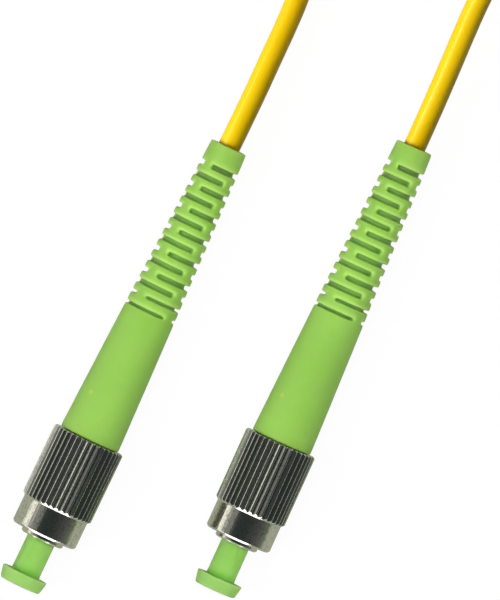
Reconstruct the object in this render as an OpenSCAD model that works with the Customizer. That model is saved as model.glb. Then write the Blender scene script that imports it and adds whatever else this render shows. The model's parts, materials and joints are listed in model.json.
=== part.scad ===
// Simplex fiber optic patch cord with two screw-nut connectors, angle-polished ferrules,
// dust caps, strain-relief boots and one free cable that is put away in a coil.
//
// Each connector is drawn along +Z, from the dust cap's outer face at z = 0 to the cable.
// place_a() and place_b() lay the two connectors side by side on the ground plane, with the
// dust caps towards -Y and the cable towards +Y.

/* [Placing of the two connectors] */
// Distance between the two connector axes, at the dust caps
end_gap = 23.75; // [14:0.05:40]
// How far the second connector lies ahead of the first
end_stagger = 10.67; // [0:0.01:30]
// Angle by which the second connector leans towards the first
end_yaw = 1.27; // [0:0.01:4]

/* [Dust cap] */
// Diameter of the grip flange at its rim
cap_flange_d = 6.2; // [5.2:0.1:8]
// Diameter of the grip flange's outer face
cap_face_d = 5.6; // [4:0.1:7]
// Thickness of the grip flange
cap_flange_l = 1.8; // [1:0.1:3]
// Diameter of the stem
cap_stem_d = 3.95; // [3.4:0.05:4.2]
// Length of the stem that shows in front of the frame
cap_stem_l = 5; // [4.2:0.1:8]
// Length of the stem inside the frame
cap_grip_l = 2.6; // [1:0.1:2.9]
// Thickness of plastic in front of the ferrule pocket
cap_end_wall = 2.2; // [1.2:0.1:2.8]

/* [Ferrule] */
// Diameter of the ceramic ferrule
ferrule_d = 2.499; // [2.3:0.001:2.6]
// Length of the ferrule
ferrule_l = 10.5; // [9.4:0.1:11]
// How far the ferrule stands out of the frame
ferrule_proud = 3.9; // [3:0.1:4.4]
// Polish angle of the end face
polish_angle = 8; // [0:0.5:10]
// Diameter of the glass fibre
fibre_d = 0.125; // [0.1:0.005:0.2]
// Diameter of the ferrule's metal flange
flange_d = 5; // [4.7:0.05:5.1]
// Thickness of the flange
flange_l = 1.95; // [1:0.05:2.2]
// Diameter of the hub that the ferrule is pressed into
hub_d = 3.4; // [3.1:0.05:3.5]
// Length of the hub behind the flange
hub_l = 1.7; // [1.5:0.1:2.2]
// Diameter of the tail tube
tail_d = 2; // [1.6:0.05:2]
// Length of the tail tube
tail_l = 2.8; // [2.4:0.1:3]

/* [Spring] */
// Diameter of the spring wire
wire_d = 0.4; // [0.3:0.05:0.45]
// Mean diameter of the spring
spring_d = 4.25; // [4.2:0.05:4.5]
// Number of coils of the spring
spring_turns = 6; // [4:1:7]

/* [Connector frame] */
// Diameter of the frame's front barrel
frame_d = 6; // [5.8:0.05:6.1]
// Length of the frame
frame_l = 11.6; // [11.4:0.1:13]
// Diameter of the frame's front bore
frame_mouth_d = 4.5; // [4.4:0.05:4.7]
// Depth of the front bore, to the seat of the flange
frame_seat_l = 3.1; // [3:0.05:3.4]
// Diameter of the frame's main bore
frame_bore_d = 5.2; // [5.15:0.05:5.3]
// Diameter of the shoulder that stops the nut
shoulder_d = 7; // [6.8:0.05:7.05]
// Distance from the frame's front to the shoulder
shoulder_from = 5.8; // [5.6:0.1:6]
// Thickness of the shoulder
shoulder_l = 1.6; // [1:0.1:1.8]
// Diameter of the waist behind the shoulder
waist_d = 6.3; // [6:0.05:6.4]
// Width of the key
key_w = 2; // [1.5:0.05:2.2]
// Height of the key above the barrel, which it follows in the round
key_h = 0.5; // [0.3:0.05:0.5]
// Length of the key
key_l = 2; // [1:0.1:2.4]
// Distance from the frame's front to the key
key_from = 1.4; // [0.8:0.1:2]

/* [Coupling nut] */
// How far the nut's front edge lies behind the frame's front
nut_setback = 0.65; // [0.3:0.05:1.2]
// Diameter of the smooth collar
collar_d = 9.2; // [8.8:0.1:9.6]
// Length of the smooth collar
collar_l = 3.85; // [2:0.05:6]
// Diameter over the knurl
knurl_d = 10; // [9.8:0.1:11]
// Length of the knurled grip
knurl_l = 10.3; // [9.8:0.1:10.35]
// Number of ridges round the knurl
knurl_teeth = 38; // [24:1:48]
// Depth of the knurl
knurl_depth = 0.35; // [0.2:0.05:0.4]
// Minor diameter of the M8 x 0.75 thread
thread_bore_d = 7.2; // [7.15:0.05:7.3]
// Length of the threaded zone
thread_l = 5.45; // [4:0.05:5.5]
// Diameter of the thread's run-out
relief_d = 8.2; // [8:0.05:8.3]
// Length of the run-out
relief_l = 1; // [0.5:0.1:1.5]
// Diameter of the groove that holds the retaining ring
groove_d = 8.4; // [8.2:0.05:8.6]
// Diameter of the nut's rear bore
rear_bore_d = 7.5; // [7.4:0.05:7.8]
// Chamfer on the collar's front edge
nut_chamfer = 0.3; // [0.1:0.05:0.4]
// Chamfer at both ends of the knurl
knurl_chamfer = 0.4; // [0.1:0.05:0.6]

/* [Retaining ring] */
// Thickness of the ring
ring_l = 0.7; // [0.4:0.05:0.8]
// Width of the split in the ring, in degrees
ring_split = 30; // [10:5:60]

/* [Rear body and crimp] */
// Length of the spigot inside the frame
spigot_l = 1.45; // [1:0.05:1.5]
// Diameter of the rear body's flange
body_flange_d = 7; // [6.6:0.05:7.2]
// Thickness of the rear body's flange
body_flange_l = 0.8; // [0.5:0.05:1]
// Diameter of the crimp barrel
crimp_barrel_d = 4.4; // [4:0.1:4.5]
// Length of the crimp barrel
crimp_barrel_l = 7.3; // [5:0.1:8]
// Diameter of the rear body's bore
body_bore_d = 1.5; // [1.2:0.05:1.6]
// Diameter of the counterbore that the tail tube slides in
tail_bore_d = 2.3; // [2.2:0.05:2.6]
// Depth of the counterbore
tail_bore_l = 1.9; // [1.6:0.1:2.2]
// Wall of the crimp sleeve over the barrel
sleeve_wall = 0.45; // [0.3:0.05:0.5]
// Wall of the crimp sleeve over the cable
neck_wall = 0.55; // [0.4:0.05:0.6]
// Length of the sleeve's neck on the cable
neck_l = 4.8; // [3:0.1:6]
// Thickness of the aramid yarn over the crimp barrel
yarn_t = 0.2; // [0.1:0.02:0.22]

/* [Boot] */
// Length of the boot behind the nut
boot_l = 43.15; // [38:0.05:60]
// Diameter of the boot's front end
boot_front_d = 8.48; // [8.2:0.02:9]
// Diameter of the boot's cable end
boot_tail_d = 5.06; // [4.8:0.02:6]
// How far the boot's side swells beyond a straight taper
boot_swell = 0.07; // [0:0.01:0.15]
// Outer diameter of the spigot inside the nut
boot_spigot_d = 7; // [6.8:0.05:7.2]
// Length of the wide bore behind the nut
boot_bore_l = 10.3; // [9.8:0.1:14]
// Length of the bore's taper
boot_taper_l = 6; // [3:0.5:8]
// Clearance between the boot's narrow bore and the cable
boot_slack = 0.15; // [0.1:0.05:0.3]
// Diameter of the boot's mouth
mouth_d = 3.9; // [3.5:0.05:4.1]
// Depth of the flared mouth
mouth_l = 4; // [2:0.5:6]
// Distance from the boot's tail to the last slot row
slot_tail = 3.24; // [2.6:0.02:5]
// Distance between neighbouring slot rows
slot_pitch = 1.62; // [1.3:0.02:2]
// Number of slot rows
slot_rows = 14; // [6:1:16]
// Width of a slot along the boot
slot_w = 0.57; // [0.3:0.01:0.8]
// Width of the two rows nearest the nut
slot_first_w = 0.33; // [0.2:0.01:0.6]
// Depth of a slot
slot_depth = 0.72; // [0.3:0.02:0.8]
// Angle that one slot covers
slot_arc = 145; // [90:5:150]
// Angle of the first row's slots about the boot
slot_turn = 50; // [0:1:90]

/* [Cable] */
// Diameter of the cable's jacket
cord_d = 3; // [2.8:0.1:3.1]
// Bore of the jacket
jacket_bore_d = 1.9; // [1.7:0.1:2]
// Diameter of the tight buffer
buffer_d = 0.9; // [0.7:0.05:0.9]

/* [Coil] */
// Radius of the outermost turn, at the middle of the cable
coil_r = 22; // [19:0.1:26]
// Distance between neighbouring turns and between layers
coil_pitch = 3.45; // [3.42:0.01:3.7]
// Number of layers
coil_layers = 4; // [2:2:4]
// Whole turns of the coil, besides the part turn between its two ends
coil_whole_turns = 6; // [4:1:7]

/* [Ties] */
// Thickness of the tie straps
tie_t = 0.4; // [0.3:0.05:0.6]
// Width of the tie straps
tie_w = 2.4; // [1.5:0.1:4]

/* [Fits] */
// Radial clearance of a pressed or glued seat
seat_fit = 0.03; // [0.02:0.01:0.05]
// Radial clearance of a sliding fit
run_fit = 0.05; // [0.04:0.01:0.06]
// Clearance between faces that stop on each other
stop_gap = 0.05; // [0.03:0.01:0.1]

/* [Hidden] */
$fn = 96;

// Cuts run past the faces that they open by this much
past = 1;

// Stations along a connector's axis, from the dust cap's outer face
frame_from = cap_flange_l + cap_stem_l;
frame_to = frame_from + frame_l;
cap_to = frame_from + cap_grip_l;
ferrule_from = frame_from - ferrule_proud;
ferrule_to = ferrule_from + ferrule_l;
seat_at = frame_from + frame_seat_l;
flange_from = seat_at + stop_gap;
flange_to = flange_from + flange_l;
hub_to = flange_to + hub_l;
tail_to = hub_to + tail_l;
shoulder_at = frame_from + shoulder_from;
shoulder_to = shoulder_at + shoulder_l;
body_from = frame_to - spigot_l;
body_flange_to = frame_to + body_flange_l;
barrel_to = body_flange_to + crimp_barrel_l;
ring_play = 0.2;
ring_to = frame_to - ring_play;
ring_from = ring_to - ring_l;
nut_from = frame_from + nut_setback;
knurl_from = nut_from + collar_l;
nut_to = knurl_from + knurl_l;
boot_play = 0.1;
boot_from = nut_to + boot_play;
boot_to = boot_from + boot_l;
sleeve_from = body_flange_to + stop_gap * 2;
sleeve_to = barrel_to + stop_gap * 2;
neck_to = sleeve_to + neck_l;
step_at = sleeve_to + 0.3;
jacket_from = step_at + stop_gap;
float_travel = 1.2;
fibre_to = ferrule_to + 0.1;
buffer_gap = 0.2;
buffer_from = fibre_to + float_travel + buffer_gap;

// The ferrule's conical tip, and the depth at its middle to which it is polished
tip_r = 0.7;
tip_l = 0.45;
polish_depth = 0.1;
fibre_hole_d = fibre_d + 0.03;

// Radii that neighbouring pieces share
sleeve_in = crimp_barrel_d / 2 + yarn_t + seat_fit;
sleeve_out = sleeve_in + sleeve_wall;
neck_in = cord_d / 2 + seat_fit;
boot_bore = sleeve_out + seat_fit;
boot_narrow = cord_d / 2 + boot_slack;

// Places of the connectors on the ground plane: their common box is centred on the origin
axis_h = knurl_d / 2;
a_x = -(end_gap - knurl_from * sin(end_yaw)) / 2;
a_y = -(end_stagger + boot_to * cos(end_yaw) + boot_tail_d / 2 * sin(end_yaw)) / 2;
b_x = a_x + end_gap;
b_y = a_y + end_stagger;
exit_a = [a_x, a_y + boot_to, axis_h];
exit_b = [b_x - boot_to * sin(end_yaw), b_y + boot_to * cos(end_yaw), axis_h];
heading_a = [0, 1, 0];
heading_b = [-sin(end_yaw), cos(end_yaw), 0];

// The coil: it starts on the ground beside cable a, and ends on top beside cable b.
coil_at = [-7, 80];
coil_start_angle = 235;
coil_end_angle = -27;
coil_turns = coil_whole_turns + (coil_start_angle - coil_end_angle) / 360;
tie_slack = 0.05;
tie_angles = [20, 160];
coil_lift = tie_t + tie_slack;
coil_base = coil_lift + cord_d / 2;
layer_turns = coil_turns / coil_layers;
coil_inner_r = coil_r - layer_turns * coil_pitch;
rings_a_turn = 24;
coil_steps = round(coil_turns * rings_a_turn);

// Free routes of the cable, from each boot to the coil, as chosen points
route_a = [
    [-11.73, 31, 5], [-11.72, 35, 4.8], [-11.79, 40, 4.2], [-11.85, 45, 3.3],
    [-12.05, 49, 2.6], [-12.6, 53, 2.1], [-13.6, 56.3, 2], [-15.1, 58.7, 2]
];
route_b = [
    [10.49, 41, 5.2], [10.36, 45, 5.9], [10.13, 50, 7.5], [9.87, 55, 9.6],
    [9.75, 59, 11.2], [9.85, 62, 12], [10.3, 65, 12.3]
];

// Knurl outline: one point on each ridge and one in each valley
knurl_r = knurl_d / 2;
valley_r = knurl_r - knurl_depth;

function unit(v) = v / norm(v);
function lerp(a, b, t) = a + (b - a) * t;

// Outer radius of the boot at a share t of its length
function boot_r(t) =
    lerp(boot_front_d / 2, boot_tail_d / 2, t) + 4 * boot_swell * t * (1 - t);

// Share of the climb to the next layer, u turns after the spiral reverses
function climb(u) =
    let (s = min(max(u + 0.25, 0), 0.5) * 2) (1 - cos(180 * s)) / 2;

// Point of the coil's middle line after t turns
function coil_point(t) =
    let (
        layer = min(floor(t / layer_turns), coil_layers - 1),
        into = t - layer * layer_turns,
        inward = layer % 2 == 0,
        r = inward ? coil_r - into * coil_pitch : coil_inner_r + into * coil_pitch,
        up = [for (k = [1 : coil_layers - 1]) climb(t - k * layer_turns)],
        z = coil_base + coil_pitch * (up * [for (k = up) 1]),
        a = coil_start_angle - 360 * t
    )
    [coil_at[0] + r * cos(a), coil_at[1] + r * sin(a), z];

function coil_heading(t) = [sin(coil_start_angle - 360 * t), -cos(coil_start_angle - 360 * t), 0];

coil_loops = [for (i = [0 : coil_steps]) coil_point(coil_turns * i / coil_steps)];
coil_first = coil_loops[0] - cord_d * coil_heading(0);
coil_last = coil_loops[coil_steps] + cord_d * coil_heading(coil_turns);
coil_path = concat([coil_first], coil_loops, [coil_last]);
path_a = concat([exit_a], route_a, [coil_first]);
path_b = concat([exit_b], route_b, [coil_last]);

// Headings along a path: those of its ends are given, so that the end faces are square
function headings(path, first, last) = [
    for (i = [0 : len(path) - 1])
        i == 0 ? first : i == len(path) - 1 ? last : unit(path[i + 1] - path[i - 1])
];

// Corner k of the ring of a tube round a point
function ring_corner(p, heading, r, sides, k) =
    let (
        side = unit(cross(heading, [0, 0, 1])),
        up = cross(side, heading),
        a = 90 + 360 * k / sides
    )
    p + r * (cos(a) * side + sin(a) * up);

// A closed tube of triangles along a path
module tube(path, ways, r, sides) {
    n = len(path);
    points = [
        for (i = [0 : n - 1], k = [0 : sides - 1]) ring_corner(path[i], ways[i], r, sides, k)
    ];
    walls = [
        for (i = [0 : n - 2], k = [0 : sides - 1])
            let (j = (k + 1) % sides, a = i * sides, b = a + sides)
            each [[a + k, b + k, b + j], [a + k, b + j, a + j]]
    ];
    first_face = [for (k = [1 : sides - 2]) [0, k, k + 1]];
    e = (n - 1) * sides;
    last_face = [for (k = [1 : sides - 2]) [e, e + k + 1, e + k]];
    polyhedron(points = points, faces = concat(walls, first_face, last_face), convexity = 10);
}

// Length of a path, and the least gap between its parts that lie over a third of a turn apart
function path_length(path, i = 0) =
    i >= len(path) - 1 ? 0 : norm(path[i + 1] - path[i]) + path_length(path, i + 1);
function least_gap(path, apart) =
    min([
        for (i = [0 : len(path) - 1], j = [i + apart : 1 : len(path) - 1])
            norm(path[i] - path[j])
    ]) - cord_d;

free_length = path_length(path_a) + path_length(coil_path) + path_length(path_b);
echo(free_cable_mm = free_length);
echo(tip_to_tip_mm = free_length + 2 * (boot_to - ferrule_from));
echo(coil_least_gap_mm = least_gap(coil_path, rings_a_turn / 3));
echo(coil_mean_d_mm = coil_r + coil_inner_r);

// Spring
spring_from = flange_to + stop_gap;
spring_to = body_from - stop_gap;
rings_a_curl = 8;
spring_rings = spring_turns * rings_a_curl;
function spring_point(t) =
    [
        spring_d / 2 * cos(360 * spring_turns * t),
        spring_d / 2 * sin(360 * spring_turns * t),
        lerp(spring_from + wire_d / 2, spring_to - wire_d / 2, t)
    ];
echo(spring_least_gap_mm = (spring_to - spring_from - wire_d) / spring_turns - wire_d);

module place_a() {
    translate([a_x, a_y, axis_h]) rotate([-90, 0, 0]) children();
}

module place_b() {
    translate([b_x, b_y, axis_h]) rotate([0, 0, end_yaw]) rotate([-90, 0, 0]) children();
}

// A plain cylinder from one station to another
module rod(d, from, to) {
    translate([0, 0, from]) cylinder(d = d, h = to - from);
}

// A body turned about the axis, from an outline of [radius, station] points
module turned(outline) {
    rotate_extrude() polygon(outline);
}

// ---- Sub-parts of one connector ----

module dust_cap() {
    face_round = 0.35;
    rim = 0.2;
    color("#9bd277") difference() {
        union() {
            turned([
                [0, 0], [cap_face_d / 2 - face_round, 0],
                for (a = [30 : 30 : 90])
                    [
                        cap_face_d / 2 - face_round + face_round * sin(a),
                        face_round * (1 - cos(a))
                    ],
                [cap_flange_d / 2, cap_flange_l - rim],
                [cap_flange_d / 2 - rim, cap_flange_l],
                [0, cap_flange_l]
            ]);
            rod(cap_stem_d, cap_flange_l / 2, cap_to);
        }
        rod(ferrule_d + 2 * run_fit, cap_end_wall, cap_to + past);
    }
}

module ferrule() {
    color("white") difference() {
        turned([
            [0, ferrule_from], [tip_r, ferrule_from], [ferrule_d / 2, ferrule_from + tip_l],
            [ferrule_d / 2, ferrule_to], [0, ferrule_to]
        ]);
        translate([0, 0, ferrule_from + polish_depth]) rotate([polish_angle, 0, 0])
            translate([-ferrule_d, -ferrule_d, -ferrule_d])
                cube([2 * ferrule_d, 2 * ferrule_d, ferrule_d]);
        rod(fibre_hole_d, ferrule_from - past, ferrule_to + past);
    }
}

module bare_fibre() {
    color("lightcyan") rod(fibre_d, ferrule_from + polish_depth + 0.02, fibre_to);
}

module ferrule_flange() {
    press_d = ferrule_d + 2 * seat_fit;
    notch_w = 1;
    notch_depth = 0.4;
    color("silver") difference() {
        union() {
            rod(flange_d, flange_from, flange_to);
            rod(hub_d, flange_from, hub_to);
            rod(tail_d, hub_to - past, tail_to);
        }
        rod(press_d, flange_from - past, ferrule_to + stop_gap);
        rod(buffer_d + 2 * run_fit, ferrule_to, tail_to + past);
        for (a = [0, 180])
            rotate([0, 0, a])
                translate([flange_d / 2 - notch_depth, -notch_w / 2, flange_from - past])
                    cube([past, notch_w, flange_l + 2 * past]);
    }
}

module spring() {
    path = [for (i = [0 : spring_rings]) spring_point(i / spring_rings)];
    first = unit(path[1] - path[0]);
    last = unit(path[spring_rings] - path[spring_rings - 1]);
    color("lightgrey") tube(path, headings(path, first, last), wire_d / 2, 6);
}

module frame() {
    key_root = 0.5;
    front_edge = 0.2;
    color("silver") difference() {
        union() {
            turned([
                [0, frame_from], [frame_d / 2 - front_edge, frame_from],
                [frame_d / 2, frame_from + front_edge],
                [frame_d / 2, shoulder_at], [shoulder_d / 2, shoulder_at],
                [shoulder_d / 2, shoulder_to], [waist_d / 2, shoulder_to],
                [waist_d / 2, frame_to], [0, frame_to]
            ]);
            intersection() {
                translate([-key_w / 2, -frame_d / 2 - key_h, frame_from + key_from])
                    cube([key_w, key_h + key_root, key_l]);
                rod(frame_d + 2 * key_h, frame_from, frame_to);
            }
        }
        rod(frame_mouth_d, frame_from - past, seat_at + past);
        rod(frame_bore_d, seat_at, frame_to + past);
    }
}

// The knurl: straight ridges, one of them on top, cut back by a chamfer at each end
module knurl() {
    intersection() {
        translate([0, 0, knurl_from]) rotate([0, 0, -90]) linear_extrude(knurl_l)
            polygon([
                for (i = [0 : knurl_teeth - 1])
                    each [
                        knurl_r * [cos(360 * i / knurl_teeth), sin(360 * i / knurl_teeth)],
                        valley_r * [
                            cos(360 * (i + 0.5) / knurl_teeth), sin(360 * (i + 0.5) / knurl_teeth)
                        ]
                    ]
            ]);
        turned([
            [0, knurl_from], [knurl_r - knurl_chamfer, knurl_from],
            [knurl_r + past, knurl_from + knurl_chamfer + past],
            [knurl_r + past, nut_to - knurl_chamfer - past],
            [knurl_r - knurl_chamfer, nut_to], [0, nut_to]
        ]);
    }
}

module coupling_nut() {
    ring_room = 0.05;
    lead_in = 0.4;
    color("silver") difference() {
        union() {
            turned([
                [0, nut_from], [collar_d / 2 - nut_chamfer, nut_from],
                [collar_d / 2, nut_from + nut_chamfer], [collar_d / 2, knurl_from + past],
                [0, knurl_from + past]
            ]);
            knurl();
        }
        rod(thread_bore_d, nut_from - past, nut_to + past);
        rod(relief_d, nut_from + thread_l, nut_from + thread_l + relief_l);
        rod(groove_d, ring_from - ring_room, ring_to + ring_room);
        rod(rear_bore_d, ring_to, nut_to + past);
        translate([0, 0, nut_from - past])
            cylinder(d1 = thread_bore_d + 2 * (lead_in + past), d2 = thread_bore_d, h = lead_in + past);
    }
}

module retaining_ring() {
    color("grey") translate([0, 0, ring_from])
        rotate([0, 0, ring_split / 2]) rotate_extrude(angle = 360 - ring_split)
            translate([waist_d / 2 + run_fit, 0])
                square([(groove_d - waist_d) / 2 - 2 * run_fit, ring_l]);
}

module rear_body() {
    color("silver") difference() {
        union() {
            rod(frame_bore_d - 2 * seat_fit, body_from, frame_to + past / 2);
            rod(body_flange_d, frame_to, body_flange_to);
            rod(crimp_barrel_d, frame_to, barrel_to);
        }
        rod(body_bore_d, body_from - past, barrel_to + past);
        rod(tail_bore_d, body_from - past, body_from + tail_bore_l);
    }
}

module crimp_sleeve() {
    neck_out = neck_in + neck_wall;
    shoulder = 0.6;
    color("gainsboro") turned([
        [sleeve_in, sleeve_from], [sleeve_out, sleeve_from], [sleeve_out, sleeve_to],
        [neck_out, sleeve_to + shoulder], [neck_out, neck_to], [neck_in, neck_to],
        [neck_in, step_at], [sleeve_in, step_at]
    ]);
}

module aramid_yarn() {
    lay_in = crimp_barrel_d / 2 + seat_fit / 2;
    lay_out = sleeve_in - seat_fit / 2;
    core_in = buffer_d / 2 + seat_fit;
    core_out = jacket_bore_d / 2 - seat_fit;
    turn_back = barrel_to + stop_gap;
    color("khaki") turned([
        [lay_in, sleeve_from], [lay_out, sleeve_from], [lay_out, step_at - stop_gap],
        [core_out, step_at - stop_gap], [core_out, boot_to], [core_in, boot_to],
        [core_in, turn_back], [lay_in, turn_back]
    ]);
}

module buffered_fibre() {
    color("ivory") rod(buffer_d, buffer_from, boot_to);
}

module cable_jacket() {
    color("#e8bd2c") difference() {
        rod(cord_d, jacket_from, boot_to);
        rod(jacket_bore_d, jacket_from - past, boot_to + past);
    }
}

// One slot row: two opposite slots, with a bridge between their ends
module slot_row(row) {
    at = boot_to - slot_tail - slot_pitch * (slot_rows - 1 - row);
    floor_r = boot_r((at - boot_from) / boot_l) - slot_depth;
    width = row < 2 ? slot_first_w : slot_w;
    turn = slot_turn + (row % 2 == 0 ? 0 : 90);
    for (half = [0, 180])
        translate([0, 0, at - width / 2]) rotate([0, 0, turn + half - slot_arc / 2])
            rotate_extrude(angle = slot_arc)
                translate([floor_r, 0]) square([slot_depth + past, width]);
}

module boot() {
    steps = 10;
    edge = 0.25;
    bore_to = boot_from + boot_bore_l;
    taper_to = bore_to + boot_taper_l;
    color("#94c85c") difference() {
        turned([
            [boot_bore, sleeve_from], [boot_spigot_d / 2, sleeve_from],
            [boot_spigot_d / 2, boot_from], [boot_r(0) - edge, boot_from],
            [boot_r(0), boot_from + edge],
            for (i = [1 : steps - 1]) [boot_r(i / steps), lerp(boot_from, boot_to, i / steps)],
            [boot_r(1), boot_to - edge], [boot_r(1) - edge, boot_to],
            [mouth_d / 2, boot_to], [boot_narrow, boot_to - mouth_l],
            [boot_narrow, taper_to], [boot_bore, bore_to]
        ]);
        for (row = [0 : slot_rows - 1]) slot_row(row);
    }
}

// ---- The free cable ----

module cable_a() {
    color("#e8bd2c")
        tube(path_a, headings(path_a, heading_a, coil_heading(0)), cord_d / 2, 8);
}

module cable_b() {
    color("#e8bd2c")
        tube(path_b, headings(path_b, heading_b, -coil_heading(coil_turns)), cord_d / 2, 8);
}

module cable_coil() {
    color("#e8bd2c")
        tube(coil_path, headings(coil_path, coil_heading(0), coil_heading(coil_turns)),
            cord_d / 2, 6);
}

// A strap round the coil's bundle, at an angle about the coil's centre
module coil_tie(angle) {
    slack = 0.15;
    inner = coil_inner_r - cord_d / 2 - slack;
    outer = coil_r + cord_d / 2 + slack;
    low = coil_lift - tie_slack;
    high = coil_base + (coil_layers - 1) * coil_pitch + cord_d / 2 + slack;
    round_r = 1.2;
    color("whitesmoke") translate([coil_at[0], coil_at[1], 0]) rotate([0, 0, angle])
        translate([0, tie_w / 2, 0]) rotate([90, 0, 0]) linear_extrude(tie_w) difference() {
            strap_outline(inner - tie_t, outer + tie_t, low - tie_t, high + tie_t, round_r + tie_t);
            strap_outline(inner, outer, low, high, round_r);
        }
}

// A rectangle with round corners, from its sides
module strap_outline(x0, x1, y0, y1, r) {
    translate([x0 + r, y0]) square([x1 - x0 - 2 * r, y1 - y0]);
    translate([x0, y0 + r]) square([x1 - x0, y1 - y0 - 2 * r]);
    for (x = [x0 + r, x1 - r], y = [y0 + r, y1 - r]) translate([x, y]) circle(r = r, $fn = 32);
}

place_a() dust_cap();  // dust_cap_a
place_a() ferrule();  // ferrule_a
place_a() bare_fibre();  // bare_fibre_a
place_a() ferrule_flange();  // ferrule_flange_a
place_a() spring();  // spring_a
place_a() frame();  // frame_a
place_a() coupling_nut();  // coupling_nut_a
place_a() retaining_ring();  // retaining_ring_a
place_a() rear_body();  // rear_body_a
place_a() crimp_sleeve();  // crimp_sleeve_a
place_a() aramid_yarn();  // aramid_yarn_a
place_a() buffered_fibre();  // buffered_fibre_a
place_a() cable_jacket();  // cable_jacket_a
place_a() boot();  // boot_a
place_b() dust_cap();  // dust_cap_b
place_b() ferrule();  // ferrule_b
place_b() bare_fibre();  // bare_fibre_b
place_b() ferrule_flange();  // ferrule_flange_b
place_b() spring();  // spring_b
place_b() frame();  // frame_b
place_b() coupling_nut();  // coupling_nut_b
place_b() retaining_ring();  // retaining_ring_b
place_b() rear_body();  // rear_body_b
place_b() crimp_sleeve();  // crimp_sleeve_b
place_b() aramid_yarn();  // aramid_yarn_b
place_b() buffered_fibre();  // buffered_fibre_b
place_b() cable_jacket();  // cable_jacket_b
place_b() boot();  // boot_b
cable_a();
cable_coil();
cable_b();
coil_tie(tie_angles[0]);  // coil_tie_1
coil_tie(tie_angles[1]);  // coil_tie_2
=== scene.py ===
# %% [markdown]
# # A fiber optic patch cord, dressed for the studio
#
# The cord has the same connector at both of its ends: a dust cap, a plug frame inside a
# knurled coupling nut, and a slotted strain-relief boot. One yellow cable joins the two.
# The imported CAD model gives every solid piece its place. This lesson models the pieces
# that show most once more, with the roundings that a mould or a lathe leaves on them,
# and gives every piece the finish of its real material.

import json
import math

import bmesh
import bpy
from mathutils import Matrix, Vector


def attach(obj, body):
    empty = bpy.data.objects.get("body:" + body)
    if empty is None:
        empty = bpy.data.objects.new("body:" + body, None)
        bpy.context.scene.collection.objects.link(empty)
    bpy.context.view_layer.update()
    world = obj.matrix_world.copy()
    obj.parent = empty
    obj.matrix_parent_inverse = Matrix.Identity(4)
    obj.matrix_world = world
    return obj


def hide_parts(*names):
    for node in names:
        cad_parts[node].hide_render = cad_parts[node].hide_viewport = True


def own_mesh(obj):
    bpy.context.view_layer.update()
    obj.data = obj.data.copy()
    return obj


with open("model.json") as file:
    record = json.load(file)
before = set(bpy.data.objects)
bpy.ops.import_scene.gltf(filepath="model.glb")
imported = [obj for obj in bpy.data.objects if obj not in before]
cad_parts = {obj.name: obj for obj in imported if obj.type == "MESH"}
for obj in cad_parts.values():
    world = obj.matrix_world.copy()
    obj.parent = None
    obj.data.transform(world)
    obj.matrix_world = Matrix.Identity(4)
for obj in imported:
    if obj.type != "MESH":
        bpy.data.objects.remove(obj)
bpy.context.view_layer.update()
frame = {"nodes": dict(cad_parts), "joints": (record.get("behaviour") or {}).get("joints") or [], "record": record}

MM = 0.001
ENDS = ("a", "b")

# %% [markdown]
# ## Where the two connectors lie
#
# Both connectors are drawn standing up: in millimetres, from the dust cap's outer face at
# station 0 up the Z axis to the cable. Local -Y is the side that ends up on top. The spin
# joint of each coupling nut says which way the real connector points, and how far along it
# the joint sits, so one matrix an end lays a finished piece down in its place.

# %% Place matrices
SPIN_STATION = 14.5

joints = {joint["name"]: joint for joint in frame["joints"]}
lay_down = {}
for end in ENDS:
    spin = joints[f"nut_{end}_spin"]
    heading = -Vector(spin["axis"])
    yaw = math.atan2(-heading.x, heading.y)
    cap_face = Vector(spin["pos_m"]) - heading * SPIN_STATION * MM
    lay_down[end] = (
        Matrix.Translation(cap_face)
        @ Matrix.Rotation(yaw, 4, "Z")
        @ Matrix.Rotation(math.radians(-90), 4, "X")
        @ Matrix.Scale(MM, 4)
    )
    print("connector", end, "starts at", tuple(round(c / MM, 2) for c in cap_face), "mm")

# %% [markdown]
# ## The camera
#
# A very long lens from above keeps both connectors almost free of perspective, so edges that
# go round a piece look straight. A wide lens close by would bend them. The frame's upward
# direction leans away from the connectors' axis, so that they stand in it as a slanted pair.
# A small tilt towards the cable side shows the rims of the boots' mouths. The cables run out
# of the frame at the top, and the coil lies just past it.

# %% Camera
VIEW_CENTRE = Vector((-0.43, 9.88, 5.0)) * MM
VIEW_HEIGHT = 80 * MM
VIEW_DISTANCE = 2400 * MM
VIEW_LEAN = math.radians(25.55)
VIEW_TILT = math.radians(2.2)
SENSOR = 36.0

view_up = Vector((-math.sin(VIEW_LEAN), math.cos(VIEW_LEAN), 0))
view_right = Vector((math.cos(VIEW_LEAN), math.sin(VIEW_LEAN), 0))
towards_eye = math.cos(VIEW_TILT) * Vector((0, 0, 1)) + math.sin(VIEW_TILT) * view_up

camera = bpy.data.objects.new("studio_camera", bpy.data.cameras.new("studio_camera"))
bpy.context.scene.collection.objects.link(camera)
camera.data.sensor_width = SENSOR
camera.data.lens = SENSOR * VIEW_DISTANCE / VIEW_HEIGHT
turn = Matrix((view_right, towards_eye.cross(view_right), towards_eye)).transposed()
eye = VIEW_CENTRE + towards_eye * VIEW_DISTANCE
camera.matrix_world = Matrix.Translation(eye) @ turn.to_4x4()
bpy.context.scene.camera = camera

print("lens", round(camera.data.lens), "mm at", VIEW_DISTANCE, "m")
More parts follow.
